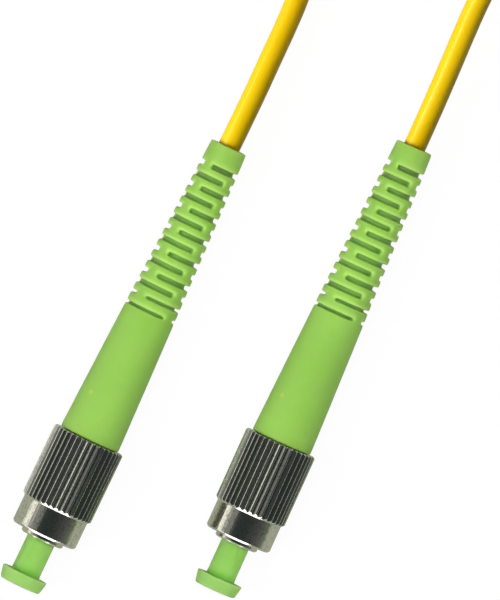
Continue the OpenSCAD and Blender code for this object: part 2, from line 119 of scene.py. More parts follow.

# %% [markdown]
# ## The cable
#
# A 3 mm cable is stiff, so it leaves each boot straight and sinks in one easy curve: the
# first end runs down to the ground, the second one up onto the coil. Everything between
# them is wound as one spiral that goes in and out again in four layers. The loops come
# from a formula and the free stretches from listed points. A curve with
# a round bevel draws the jacket along them, and automatic handles keep it smooth. The
# bevel is in millimetres, and each point's radius brings it down to metres.

# %% Cable route
CORD_D = 3.0
COIL_AT = (-7.0, 80.0)
COIL_R = 22.0
COIL_PITCH = 3.45
COIL_LAYERS = 4
COIL_START = 235.0
COIL_STOP = -27.0
COIL_TURNS = 6 + (COIL_START - COIL_STOP) / 360
CLIMB_TURNS = 0.5
COIL_BASE = 1.95
RINGS_A_TURN = 24
ROUTE_A = [
    (-11.73, 31, 5), (-11.72, 35, 4.8), (-11.79, 40, 4.2), (-11.85, 45, 3.3),
    (-12.05, 49, 2.6), (-12.6, 53, 2.1), (-13.6, 56.3, 2), (-15.1, 58.7, 2),
]
ROUTE_B = [
    (10.49, 41, 5.2), (10.36, 45, 5.9), (10.13, 50, 7.5), (9.87, 55, 9.6),
    (9.75, 59, 11.2), (9.85, 62, 12), (10.3, 65, 12.3),
]


def climb(turns):
    """Share of the step to the next layer, this many turns after the spiral reverses."""
    share = min(max(turns / CLIMB_TURNS + 0.5, 0), 1)
    return (1 - math.cos(math.pi * share)) / 2


def coil_point(turns):
    """Point of the coil's middle line after some turns, in millimetres."""
    layer_turns = COIL_TURNS / COIL_LAYERS
    layer = min(int(turns / layer_turns), COIL_LAYERS - 1)
    into = turns - layer * layer_turns
    if layer % 2:
        into = layer_turns - into
    radius = COIL_R - into * COIL_PITCH
    layers_up = sum(climb(turns - k * layer_turns) for k in range(1, COIL_LAYERS))
    angle = math.radians(COIL_START - 360 * turns)
    return Vector((
        COIL_AT[0] + radius * math.cos(angle),
        COIL_AT[1] + radius * math.sin(angle),
        COIL_BASE + COIL_PITCH * layers_up,
    ))


def coil_heading(turns):
    """Direction in which the coil runs after some turns."""
    angle = math.radians(COIL_START - 360 * turns)
    return Vector((math.sin(angle), -math.cos(angle), 0))


BOOT_END = 64.85
exits = {end: lay_down[end] @ Vector((0, 0, BOOT_END)) for end in ENDS}
coil_steps = round(COIL_TURNS * RINGS_A_TURN)
loops = [coil_point(COIL_TURNS * i / coil_steps) for i in range(coil_steps + 1)]
route = [
    exits["a"] / MM,
    *(Vector(p) for p in ROUTE_A),
    loops[0] - CORD_D * coil_heading(0),
    *loops,
    loops[-1] + CORD_D * coil_heading(COIL_TURNS),
    *(Vector(p) for p in reversed(ROUTE_B)),
    exits["b"] / MM,
]
cord_length = sum((q - p).length for p, q in zip(route, route[1:])) * MM

print("cable:", len(route), "points,", round(cord_length, 4), "m")

# %% Cable
cable_line = bpy.data.curves.new("cable", "CURVE")
cable_line.dimensions = "3D"
spline = cable_line.splines.new("BEZIER")
spline.bezier_points.add(len(route) - 1)
for knot, place in zip(spline.bezier_points, route):
    knot.co = place * MM
    knot.handle_left_type = knot.handle_right_type = "AUTO"
    knot.radius = MM
spline.resolution_u = 5
cable_line.bevel_depth = CORD_D / 2
cable_line.bevel_resolution = 8
cable_line.use_fill_caps = True
cable = bpy.data.objects.new("cable", cable_line)
bpy.context.scene.collection.objects.link(cable)

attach(cable, "root")
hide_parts("cable_a", "cable_coil", "cable_b")

print("cable curve:", len(spline.bezier_points), "points,", cable_line.bevel_depth * 2, "mm thick")

# %% [markdown]
# ## Modelling tools
#
# Most pieces here are turned parts, so the first tool does what a lathe does. It starts
# from a plane that is merged to one point, draws the outline of the cut section by
# extruding that point from corner to corner, and spins the outline round the Z axis. The
# doubled points on the axis and on the seam are merged, and then all normals are turned
# outwards. All tools work in millimetres.

# %% Turning tool
MERGE_DISTANCE = 0.0005
NEAR = 0.01  # what lies within this many millimetres or degrees is in the same place


def select_only(piece):
    """Makes the piece the active one and the only selected one."""
    bpy.ops.object.select_all(action="DESELECT")
    piece.select_set(True)
    bpy.context.view_layer.objects.active = piece


def open_for_edit(piece):
    """Puts this piece alone in edit mode."""
    select_only(piece)
    bpy.ops.object.mode_set(mode="EDIT")


def merge_all():
    """Merges all points of the open mesh that share a place."""
    bpy.ops.mesh.select_all(action="SELECT")
    bpy.ops.mesh.remove_doubles(threshold=MERGE_DISTANCE)


def close_edit(piece):
    """Leaves edit mode with everything merged, and every normal outwards."""
    bpy.ops.mesh.select_mode(type="VERT")
    merge_all()
    bpy.ops.mesh.normals_make_consistent(inside=False)
    bpy.ops.object.mode_set(mode="OBJECT")
    return piece


def turned(name, outline, steps, start=0.0, arc=360.0):
    """Spins an outline of (radius, station) points round Z, beginning at an angle."""
    bpy.ops.object.select_all(action="DESELECT")
    bpy.ops.mesh.primitive_plane_add(size=1, location=(0, 0, 0))
    piece = bpy.context.active_object
    piece.name = piece.data.name = name
    open_for_edit(piece)
    bpy.ops.mesh.select_all(action="SELECT")
    bpy.ops.mesh.merge(type="CENTER")
    cos, sin = math.cos(math.radians(start)), math.sin(math.radians(start))
    corners = [Vector((radius * cos, radius * sin, station)) for radius, station in outline]
    bpy.ops.transform.translate(value=corners[0])
    for before, after in zip(corners, corners[1:]):
        bpy.ops.mesh.extrude_vertices_move(TRANSFORM_OT_translate={"value": after - before})
    merge_all()
    bpy.ops.mesh.select_all(action="SELECT")
    bpy.ops.mesh.spin(  # a negative angle turns it the way that angles grow
        steps=steps, angle=-math.radians(arc), center=(0, 0, 0), axis=(0, 0, 1)
    )
    return piece


def select_parts(piece, kind, test):
    """Selects the vertices or faces whose middle passes the test, and nothing else."""
    bpy.ops.mesh.select_mode(type=kind)
    bpy.ops.mesh.select_all(action="DESELECT")
    cage = bmesh.from_edit_mesh(piece.data)
    for part in cage.verts if kind == "VERT" else cage.faces:
        if test(part.co if kind == "VERT" else part.calc_center_median()):
            part.select_set(True)
    cage.select_flush_mode()
    bmesh.update_edit_mesh(piece.data)


def resize_about_axis(factor, station=0.0):
    """Scales what is selected towards or away from the Z axis."""
    bpy.ops.transform.resize(value=(factor, factor, 1), center_override=(0, 0, station))


# %% [markdown]
# Modifiers finish a piece and are then applied. Each copy is laid down at its end of the
# cord by moving its mesh, so that its object stays at the origin. Before that, the place of
# every vertex on the standing connector is stored in the mesh: a finish reads it to know
# how far along the connector it is, whichever end the piece belongs to.

# %% Finishing tools
def add_modifier(piece, kind, **settings):
    """Adds a modifier with these settings, and applies it."""
    select_only(piece)
    modifier = piece.modifiers.new(kind.title(), kind)
    for name, value in settings.items():
        setattr(modifier, name, value)
    bpy.ops.object.modifier_apply(modifier=modifier.name)


def smooth(piece, degrees):
    """Shades the piece smooth, except across edges sharper than this."""
    select_only(piece)
    bpy.ops.object.shade_smooth_by_angle(angle=math.radians(degrees))


def remember_place(piece):
    """Stores each vertex's place on the standing connector, in millimetres."""
    places = piece.data.attributes.new("standing", "FLOAT_VECTOR", "POINT")
    flat = [0.0] * (3 * len(piece.data.vertices))
    piece.data.vertices.foreach_get("co", flat)
    places.data.foreach_set("vector", flat)


def at_both_ends(piece, base_name, body):
    """Puts one finished copy of the piece at each end, in the place of its CAD node."""
    remember_place(piece)
    copies = []
    for end in ENDS:
        name = f"{base_name}_{end}_finish"
        copy = bpy.data.objects.new(name, piece.data.copy())
        copy.data.name = name
        copy.data.transform(lay_down[end])
        bpy.context.scene.collection.objects.link(copy)
        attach(copy, body.format(end=end))
        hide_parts(f"{base_name}_{end}")
        copies.append(copy)
    bpy.data.objects.remove(piece)
    print(base_name, "faces:", len(copies[0].data.polygons))
    return copies


# %% [markdown]
# ## The boot
#
# The boot is one soft moulding that tapers from the nut to the cable. Fourteen rows of
# slots let it bend: each row has two slots opposite each other, and the rows take turns to
# face the two diagonals. The mould leaves every edge round. So the boot starts as a coarse
# turned cage with a ring of edges at both sides of every row. The faces of a slot are
# extruded and pulled in towards the axis, and a subdivision surface then rounds it all. As
# that narrows the slots too, the cage draws them wider than they end up. The slot edges
# that face the nut get a painted highlight: their points get a number that the finish reads
# to paint them a paler green.

# %% Boot sizes
BOOT_START = 21.7
BOOT_L = BOOT_END - BOOT_START
BOOT_FRONT_R = 4.24
BOOT_TAIL_R = 2.53
BOOT_SWELL = 0.07
SPIGOT_R = 3.5
SPIGOT_START = 19.3
CRIMP_BORE_R = 2.92
CRIMP_BORE_END = 32.0
NARROW_START = 38.0
NARROW_R = 1.66
MOUTH_R = 1.95
MOUTH_L = 4.0
SLOT_ROWS = 14
SLOT_PITCH = 1.62
SLOT_TAIL = 3.24
SLOT_W = 0.68
SLOT_FIRST_W = 0.42
SLOT_DEPTH = 0.72
SLOT_HALF_ARC = 75
SLOT_FACING = (230, 320)
BOOT_SIDES = 36
BOOT_SIDE_START = 5
BODY_RINGS = (26, 31, 36)
CRISP = 0.12
EDGE_RING = 0.42
SLOT_RIM = 0.3
# share of the painted highlight on the ring behind each slot edge
LIP_HIGHLIGHT_FADE = 0.35


def boot_radius(station):
    """Outer radius of the boot at a station."""
    share = (station - BOOT_START) / BOOT_L
    taper = BOOT_FRONT_R + (BOOT_TAIL_R - BOOT_FRONT_R) * share
    return taper + 4 * BOOT_SWELL * share * (1 - share)


slot_rows = [
    (
        BOOT_END - SLOT_TAIL - SLOT_PITCH * (SLOT_ROWS - 1 - row),
        SLOT_FIRST_W if row < 2 else SLOT_W,
        SLOT_FACING[row % 2],
    )
    for row in range(SLOT_ROWS)
]

print("slot rows from", round(slot_rows[0][0], 2), "to", round(slot_rows[-1][0], 2), "mm")

# %% Boot outline
def boot_outline():
    """Cut section of the boot, with close pairs of points where an edge stays crisp."""
    plain = [BOOT_START + CRISP, BOOT_START + 0.4, *BODY_RINGS, slot_rows[0][0] - 1]
    rings = []
    for station, width, _ in slot_rows:
        half = width / 2
        rings += [station - half - EDGE_RING, station - half, station + half]
        rings += [station + half + EDGE_RING]
    tail = [BOOT_END - 2, BOOT_END - 0.8, BOOT_END - 0.25]
    outer = [(boot_radius(s), s) for s in plain + rings + tail]
    front = boot_radius(BOOT_START)
    back = boot_radius(BOOT_END)
    return [
        (CRIMP_BORE_R, SPIGOT_START), (SPIGOT_R - CRISP, SPIGOT_START),
        (SPIGOT_R, SPIGOT_START + CRISP), (SPIGOT_R, BOOT_START - CRISP),
        (SPIGOT_R + CRISP, BOOT_START), (front - CRISP, BOOT_START),
        *outer,
        (back - 0.03, BOOT_END - 0.06), (back - 0.14, BOOT_END), (MOUTH_R + 0.1, BOOT_END),
        (MOUTH_R, BOOT_END - 0.08), (MOUTH_R - 0.04, BOOT_END - 0.4),
        (NARROW_R, BOOT_END - MOUTH_L), (NARROW_R, NARROW_START),
        (CRIMP_BORE_R, CRIMP_BORE_END), (CRIMP_BORE_R, SPIGOT_START + CRISP),
        (CRIMP_BORE_R, SPIGOT_START),
    ]


print("boot outline:", len(boot_outline()), "points")

# %% Boot
def in_arc(place, facing, margin=0):
    """True if a place lies in one of the two opposite slots of a row."""
    angle = math.degrees(math.atan2(place.y, place.x))
    off = (angle - facing + 90) % 180 - 90
    return abs(off) < SLOT_HALF_ARC + margin


def mark_lip_highlight(piece, station, width, facing):
    """Gives a row's slot edges that face the nut a painted highlight of 1, and the ring behind them less."""
    cage = bmesh.from_edit_mesh(piece.data)
    lip = cage.verts.layers.float.get("lip") or cage.verts.layers.float.new("lip")
    for ring, share in ((station + width / 2, 1), (station + width / 2 + EDGE_RING, LIP_HIGHLIGHT_FADE)):
        for corner in cage.verts:
            outside = corner.co.xy.length > boot_radius(ring) - 2 * NEAR
            if outside and abs(corner.co.z - ring) < NEAR and in_arc(corner.co, facing, margin=1):
                corner[lip] = share
    bmesh.update_edit_mesh(piece.data)


boot = turned("boot", boot_outline(), BOOT_SIDES, start=BOOT_SIDE_START)
close_edit(boot)
open_for_edit(boot)
for station, width, facing in slot_rows:
    mark_lip_highlight(boot, station, width, facing)
    outer_r = boot_radius(station)

    def slot_face(place):
        on_row = abs(place.z - station) < width / 2
        return on_row and place.xy.length > NARROW_R + 0.3 and in_arc(place, facing)

    select_parts(boot, "FACE", slot_face)
    rim_r, floor_r = outer_r - SLOT_RIM, outer_r - SLOT_DEPTH
    bpy.ops.mesh.extrude_region_move()
    resize_about_axis(rim_r / outer_r, station)
    bpy.ops.mesh.extrude_region_move()
    resize_about_axis(floor_r / rim_r, station)
close_edit(boot)
add_modifier(boot, "SUBSURF", levels=2, render_levels=2)
smooth(boot, degrees=180)
boots = at_both_ends(boot, "boot", "root")

# %% [markdown]
# ## The coupling nut
#
# The nut is turned from brass, knurled and nickel-plated. Its knurl is a ring of straight
# V ridges, and a chamfer at each end cuts their tips back, which leaves a row of small
# bright scallops. One ridge is enough: a wedge of the nut is spun from the cut section,
# its columns of points are moved to the shape of a ridge, and the wedge is spun round the
# axis as 38 copies that are merged into the whole nut.

# %% Nut sizes
NUT_START = 7.45
KNURL_START = 11.3
NUT_END = 21.6
COLLAR_R = 4.6
COLLAR_BEVEL = 0.28
KNURL_R = 5.0
KNURL_TEETH = 38
FRONT_CHAMFER = KNURL_R - COLLAR_R
REAR_CHAMFER = 0.2
THREAD_R = 3.6
THREAD_ROOT_R = 3.95
THREAD_PITCH = 0.75
THREAD_CREST = 0.05
THREAD_MOUTH_L = 0.5
THREAD_MOUTH_R = THREAD_R + 0.45
THREAD_END = 12.9
RELIEF_R = 4.1
RELIEF_END = 13.9
GROOVE_R = 4.2
GROOVE = (17.45, 18.25)
REAR_BORE_R = 3.75
REAR_BORE_BEVEL = 0.1
TOP_ANGLE = 270.0
TOOTH_ANGLE = 360 / KNURL_TEETH

RIDGE_PITCH = math.tau * KNURL_R / KNURL_TEETH
FLANK_SLOPE = math.radians(39)
TIP_R = 0.17
ROOT_W = 0.05


def ridge_columns():
    """A ridge's cut section, as (share of the pitch from its tip, radius) from side to side."""
    side = []
    for bend in (0.33, 0.67, 1.0):
        slope = FLANK_SLOPE * bend
        side.append((TIP_R * math.sin(slope), TIP_R * (1 - math.cos(slope))))
    foot = RIDGE_PITCH / 2 - ROOT_W / 2
    drop = side[-1][1] + (foot - side[-1][0]) * math.tan(FLANK_SLOPE)
    side += [(foot, drop), (RIDGE_PITCH / 2, drop + ROOT_W / 5)]
    half = [(across / RIDGE_PITCH, KNURL_R - down) for across, down in side]
    return [(-share, radius) for share, radius in reversed(half)] + [(0, KNURL_R)] + half


ridge = ridge_columns()
print("one ridge every", round(RIDGE_PITCH, 3), "mm,", round(KNURL_R - ridge[0][1], 3), "deep")

# %% Nut outline
def thread_outline():
    """The threaded bore's section, from the run-out forwards to the mouth."""
    points = []
    station = THREAD_END
    while station - THREAD_PITCH > NUT_START + THREAD_MOUTH_L:
        points += [
            (THREAD_R, station - THREAD_CREST),
            (THREAD_ROOT_R, station - THREAD_PITCH / 2),
        ]
        station -= THREAD_PITCH
    return points + [(THREAD_R, station), (THREAD_MOUTH_R, NUT_START)]


def nut_outline():
    """Cut section of the nut, with a plain knurl zone."""
    bevel = COLLAR_BEVEL
    return [
        (THREAD_MOUTH_R, NUT_START), (COLLAR_R - bevel, NUT_START),
        (COLLAR_R - 0.04, NUT_START + bevel - 0.04), (COLLAR_R, NUT_START + bevel + 0.03),
        (COLLAR_R, KNURL_START - 0.04), (COLLAR_R, KNURL_START), (KNURL_R, KNURL_START),
        (KNURL_R, KNURL_START + FRONT_CHAMFER),
        (KNURL_R, NUT_END - REAR_CHAMFER), (KNURL_R, NUT_END),
        (REAR_BORE_R + REAR_BORE_BEVEL, NUT_END), (REAR_BORE_R, NUT_END - REAR_BORE_BEVEL),
        (REAR_BORE_R, GROOVE[1]), (GROOVE_R, GROOVE[1]), (GROOVE_R, GROOVE[0]),
        (THREAD_R, GROOVE[0]), (THREAD_R, RELIEF_END), (RELIEF_R, RELIEF_END),
        (RELIEF_R, THREAD_END), *thread_outline(),
    ]


print("nut outline:", len(nut_outline()), "points")

# %% Nut
wedge = turned(
    "coupling_nut", nut_outline(), len(ridge) - 1,
    start=TOP_ANGLE - TOOTH_ANGLE / 2, arc=TOOTH_ANGLE,
)
merge_all()
for column, (share, ridge_r) in enumerate(ridge):
    even = TOP_ANGLE + TOOTH_ANGLE * (column / (len(ridge) - 1) - 0.5)
    wanted = TOP_ANGLE + TOOTH_ANGLE * share

    def in_column(place):
        angle = math.degrees(math.atan2(place.y, place.x)) % 360
        return abs(angle - even) < NEAR

    def in_knurl(place):
        return in_column(place) and place.xy.length > KNURL_R - NEAR

    for edge, inward, chamfer in ((KNURL_START, 1, FRONT_CHAMFER), (NUT_END, -1, REAR_CHAMFER)):
        edge_r = min(ridge_r, KNURL_R - chamfer)
        select_parts(wedge, "VERT", lambda p: in_knurl(p) and abs(p.z - edge) < NEAR)
        resize_about_axis(edge_r / KNURL_R)
        shoulder = edge + inward * chamfer
        select_parts(wedge, "VERT", lambda p: in_knurl(p) and abs(p.z - shoulder) < NEAR)
        resize_about_axis(ridge_r / KNURL_R)
        back = inward * (ridge_r - edge_r - chamfer)
        bpy.ops.transform.translate(value=(0, 0, back))
    if abs(wanted - even) > 0.001:
        select_parts(wedge, "VERT", in_column)
        bpy.ops.transform.rotate(
            value=math.radians(even - wanted), orient_axis="Z", center_override=(0, 0, 0)
        )
bpy.ops.mesh.select_all(action="SELECT")
bpy.ops.mesh.spin(
    steps=KNURL_TEETH, angle=math.tau, dupli=True, center=(0, 0, 0), axis=(0, 0, 1)
)
nut = close_edit(wedge)
smooth(nut, degrees=32)
add_modifier(nut, "WEIGHTED_NORMAL", keep_sharp=True, weight=90)
nuts = at_both_ends(nut, "coupling_nut", "nut_{end}")

# %% [markdown]
# ## The dust cap
#
# The cap is a small polyethylene moulding: a conical grip flange and a stem with a blind
# pocket that grips the ferrule. It could be a plain turned shape, but the mould's round
# edges are what catches the light. So its outline has close pairs of points at the edges,
# and a subdivision surface rounds them.

# %% Dust cap
CAP_FACE_R = 2.88
CAP_RIM_R = 3.18
CAP_FLANGE_L = 1.8
CAP_STEM_R = 1.975
CAP_END = 9.4
POCKET_R = 1.3
POCKET_START = 2.2
CAP_SIDES = 48


def cap_outline():
    """Cut section of the dust cap, from the middle of its outer face to its pocket."""
    return [
        (0, 0.14), (0.55, 0.14), (0.7, 0.12), (1.25, 0.1), (1.4, 0.02), (1.6, 0),
        (CAP_FACE_R - 0.5, 0), (CAP_FACE_R - 0.12, 0.03), (CAP_FACE_R - 0.01, 0.2),
        (CAP_FACE_R + 0.06, 0.45), (CAP_RIM_R - 0.02, CAP_FLANGE_L - 0.25),
        (CAP_RIM_R, CAP_FLANGE_L - 0.07), (CAP_RIM_R - 0.04, CAP_FLANGE_L - 0.01),
        (CAP_RIM_R - 0.2, CAP_FLANGE_L), (CAP_STEM_R + 0.25, CAP_FLANGE_L),
        (CAP_STEM_R + 0.05, CAP_FLANGE_L + 0.03), (CAP_STEM_R, CAP_FLANGE_L + 0.2),
        (CAP_STEM_R, 4), (CAP_STEM_R, CAP_END - 0.4), (CAP_STEM_R - 0.06, CAP_END - 0.06),
        (CAP_STEM_R - 0.25, CAP_END), (POCKET_R + 0.2, CAP_END),
        (POCKET_R + 0.02, CAP_END - 0.06), (POCKET_R, CAP_END - 0.3),
        (POCKET_R, POCKET_START + 0.2), (POCKET_R - 0.1, POCKET_START),
        (0.4, POCKET_START), (0, POCKET_START),
    ]


cap = turned("dust_cap", cap_outline(), CAP_SIDES)
close_edit(cap)
add_modifier(cap, "SUBSURF", levels=2, render_levels=2)
smooth(cap, degrees=180)
caps = at_both_ends(cap, "dust_cap", "cap_{end}")

# %% [markdown]
# ## The ferrule's springs
#
# The spring behind each ferrule lets it give way by a millimetre. A rigid one would be run
# through by the ferrule's flange. This one is a round wire along a helix: a curve with a
# round bevel, which is turned into a mesh.

# %% Springs
WIRE_D = 0.4
SPRING_D = 4.25
SPRING_TURNS = 6
SPRING_START = 11.95
SPRING_END = 16.9
SPRING_L = SPRING_END - SPRING_START
WIRE_STEPS = 24

wire_line = bpy.data.curves.new("spring", "CURVE")
wire_line.dimensions = "3D"
wire_line.bevel_depth = WIRE_D / 2
wire_line.bevel_resolution = 3
wire_line.use_fill_caps = True
helix = wire_line.splines.new("POLY")
helix.points.add(SPRING_TURNS * WIRE_STEPS)
for step, knot in enumerate(helix.points):
    share = step / (len(helix.points) - 1)
    angle = math.tau * SPRING_TURNS * share
    station = SPRING_START + WIRE_D / 2 + (SPRING_L - WIRE_D) * share
    knot.co = (SPRING_D / 2 * math.cos(angle), SPRING_D / 2 * math.sin(angle), station, 1)

spring = bpy.data.objects.new("spring", wire_line)
bpy.context.scene.collection.objects.link(spring)
select_only(spring)
bpy.ops.object.convert(target="MESH")
smooth(spring, degrees=60)
springs = at_both_ends(spring, "spring", "root")
for end, piece in zip(ENDS, springs):
    give = joints[f"ferrule_{end}_float"]["range_m"][1] / MM
    1 - give / SPRING_L
    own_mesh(piece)

# %% [markdown]
# ## The coil's straps
#
# Two thin straps keep the coil together. A strap is a flat band that goes round the whole
# bundle and laps over itself. A cube of the bundle's size is a good start: its four edges
# across the band are bevelled round, its two sides are taken away, and a Solidify modifier
# gives what is left its thickness. The lap is a raised piece of the same band on top.

# %% Straps
TIE_T = 0.4
TIE_W = 2.4
TIE_TOP = 14.35
TIE_SLACK = 0.15
TIE_INNER = COIL_R - COIL_TURNS / COIL_LAYERS * COIL_PITCH - CORD_D / 2 - TIE_SLACK - TIE_T
TIE_OUTER = COIL_R + CORD_D / 2 + TIE_SLACK + TIE_T
TIE_ROUND = 1.6
LAP = (TIE_INNER + 2.2, TIE_OUTER - 3.4)
LAP_RISE = 0.9 * TIE_T
TIE_ANGLES = {"coil_tie_1": 20, "coil_tie_2": 160}


def strap(name, angle):
    """One strap round the coil's bundle, at an angle about the coil's centre."""
    bpy.ops.object.select_all(action="DESELECT")
    middle = ((TIE_INNER + TIE_OUTER) / 2, 0, TIE_TOP / 2)
    size = (TIE_OUTER - TIE_INNER, TIE_W, TIE_TOP)
    bpy.ops.mesh.primitive_cube_add(size=1, location=middle, scale=size)
    piece = bpy.context.active_object
    piece.name = piece.data.name = f"{name}_finish"
    bpy.ops.object.transform_apply(location=True, rotation=False, scale=True)
    open_for_edit(piece)
    select_parts(piece, "FACE", lambda p: abs(abs(p.y) - TIE_W / 2) < NEAR)
    bpy.ops.mesh.delete(type="FACE")
    cage = bmesh.from_edit_mesh(piece.data)
    for side in cage.edges:
        side.select_set(abs(side.verts[0].co.y - side.verts[1].co.y) > TIE_W / 2)
    bmesh.update_edit_mesh(piece.data)
    bpy.ops.mesh.bevel(offset=TIE_ROUND, segments=6)
    bpy.ops.mesh.select_all(action="SELECT")
    bpy.ops.mesh.normals_make_consistent(inside=False)
    bpy.ops.object.mode_set(mode="OBJECT")
    add_modifier(piece, "SOLIDIFY", thickness=TIE_T, offset=-1)
    open_for_edit(piece)
    for cut in LAP:
        bpy.ops.mesh.select_all(action="SELECT")
        bpy.ops.mesh.bisect(plane_co=(cut, 0, 0), plane_no=(1, 0, 0))
    select_parts(piece, "FACE", lambda p: p.z > TIE_TOP - NEAR and LAP[0] < p.x < LAP[1])
    bpy.ops.mesh.extrude_region_move(TRANSFORM_OT_translate={"value": (0, 0, LAP_RISE)})
    close_edit(piece)
    add_modifier(piece, "BEVEL", width=0.1, segments=3, limit_method="ANGLE")
    smooth(piece, degrees=40)
    piece.data.transform(
        Matrix.Translation(Vector((*COIL_AT, 0)) * MM)
        @ Matrix.Rotation(math.radians(angle), 4, "Z")
        @ Matrix.Scale(MM, 4)
    )
    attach(piece, "root")
    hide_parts(name)
    print(name, "faces:", len(piece.data.polygons))
    return piece


straps = [strap(node, angle) for node, angle in TIE_ANGLES.items()]

# %% [markdown]
# ## Writing finishes
#
# A finish is a small sum: so much of this noise, added to that colour. Written as nodes it
# takes many lines, so one class wraps a socket and lets Python's own operators add the
# Math nodes. Every other node comes from one method, which takes the node's type, its
# settings and the values or links of its sockets. A finish, and later the sky, is a set of
# such nodes.

# %% Shader maths
class Socket:
    """A node's output, which can be used in sums."""

    def __init__(self, nodes, link):
        self.nodes = nodes
        self.link = link

    def maths(self, operation, first, second):
        return self.nodes.node("ShaderNodeMath", {"operation": operation}, {0: first, 1: second})

    def __add__(self, other):
        return self.maths("ADD", self, other)

    def __radd__(self, other):
        return self.maths("ADD", other, self)

    def __sub__(self, other):
        return self.maths("SUBTRACT", self, other)

    def __rsub__(self, other):
        return self.maths("SUBTRACT", other, self)

    def __mul__(self, other):
        return self.maths("MULTIPLY", self, other)

    def __rmul__(self, other):
        return self.maths("MULTIPLY", other, self)


class Nodes:
    """A node tree, with short ways to fill it."""

    def __init__(self, tree):
        self.tree = tree

    def join(self, target, value):
        """Links a socket to a node's input, or sets the input to a plain value."""
        if isinstance(value, Socket):
            self.tree.links.new(value.link, target)
        else:
            target.default_value = value

    def node(self, kind, settings=None, inputs=None, out=0):
        """Adds a node of this type and returns one of its outputs, if it has any."""
        node = self.tree.nodes.new(kind)
        for name, value in (settings or {}).items():
            if name == "stops":
                self.set_stops(node.color_ramp.elements, value)
            else:
                setattr(node, name, value)
        for name, value in (inputs or {}).items():
            self.join(node.inputs[name], value)
        return Socket(self, node.outputs[out]) if node.outputs else None

    @staticmethod
    def set_stops(stops, wanted):
        """Gives a new ramp its (position, colour) stops, from 0 to 1."""
        stops[0].color = wanted[0][1]
        stops[1].color = wanted[-1][1]
        for position, colour in wanted[1:-1]:
            stops.new(position).color = colour

    def noise(self, scale, detail=2.0, stretch=(1, 1, 1)):
        """Noise over the object's own coordinates, about 0 to 1, with this many waves a metre."""
        place = self.node("ShaderNodeTexCoord", out="Object")
        place = self.node("ShaderNodeMapping", inputs={"Vector": place, "Scale": stretch})
        return self.node(
            "ShaderNodeTexNoise", inputs={"Vector": place, "Scale": scale, "Detail": detail}
        )

    def stored(self, name, out):
        """What a mesh stores under this name, as a Vector or, with Fac, as a number."""
        return self.node("ShaderNodeAttribute", {"attribute_name": name}, out=out)

    def vector_maths(self, operation, first, second=(0, 0, 0), out="Value"):
        return self.node(
            "ShaderNodeVectorMath", {"operation": operation}, {0: first, 1: second}, out=out
        )

    def along_and_out(self):
        """The station along the standing connector, and the distance from its axis."""
        standing = self.stored("standing", "Vector")
        station = self.node("ShaderNodeSeparateXYZ", inputs={"Vector": standing}, out="Z")
        flat = self.vector_maths("MULTIPLY", standing, (1, 1, 0), out="Vector")
        return station, self.vector_maths("LENGTH", flat)

    def ramp(self, value, low, high):
        """A smooth step from 0 to 1 between two values."""
        return self.node(
            "ShaderNodeMapRange",
            {"interpolation_type": "SMOOTHSTEP"},
            {"Value": value, "From Min": low, "From Max": high},
        )

    def blend(self, share, first, second):
        """Mixes two colours, through the colour sockets among a Mix node's many."""
        return self.node(
            "ShaderNodeMix", {"data_type": "RGBA"}, {0: share, 6: first, 7: second}, out=2
        )


class Finish(Nodes):
    """A material whose sums feed one Principled shader."""

    def __init__(self, name, **plain):
        self.material = bpy.data.materials.new(name)
        self.material.use_nodes = True
        super().__init__(self.material.node_tree)
        self.shader = self.tree.nodes["Principled BSDF"]
        self.feed(**plain)

    def feed(self, **values):
        """Sets sockets of the shader, named with _ for a space."""
        for name, value in values.items():
            self.join(self.shader.inputs[name.replace("_", " ")], value)

    def bump(self, height, distance, strength):
        """A bumpy normal from a height of 0 to 1, with the bumps this high in metres."""
        self.feed(Normal=self.node(
            "ShaderNodeBump", inputs={"Height": height, "Distance": distance, "Strength": strength}
        ))


def rgb(red, green, blue):
    """A colour as it is seen on a screen, from 0 to 255, in linear light."""
    def linear(value):
        share = value / 255
        return share / 12.92 if share <= 0.04045 else ((share + 0.055) / 1.055) ** 2.4
    return (linear(red), linear(green), linear(blue), 1)


# %% [markdown]
# ## The finishes
#
# The boot is a soft elastomer: its colour wanders a little, its skin has the fine grain of
# an eroded mould, and some light goes into it. Its slots get a painted shade: a deeper green
# that reads how far below the boot's outer surface a point lies. The slot edges that face
# the nut get a painted highlight, a paler green. A pale dot marks the gate, where the
# plastic entered the mould.

# %% Boot green
GATE_STATION = 27.6
GATE_ANGLE = math.radians(230)
GATE_RIM = (0.22, 0.45)  # distances from the dot's middle between which it fades
# the slots' painted shade sets in between these depths
SLOT_SHADE = (0.1, 0.55)  # depths between which the deeper green sets in
LIT_THROUGH = {
    "Subsurface_Weight": 1.0,
    "Subsurface_Scale": 3 * MM,
    "Subsurface_Radius": (0.9, 1, 0.5),
}


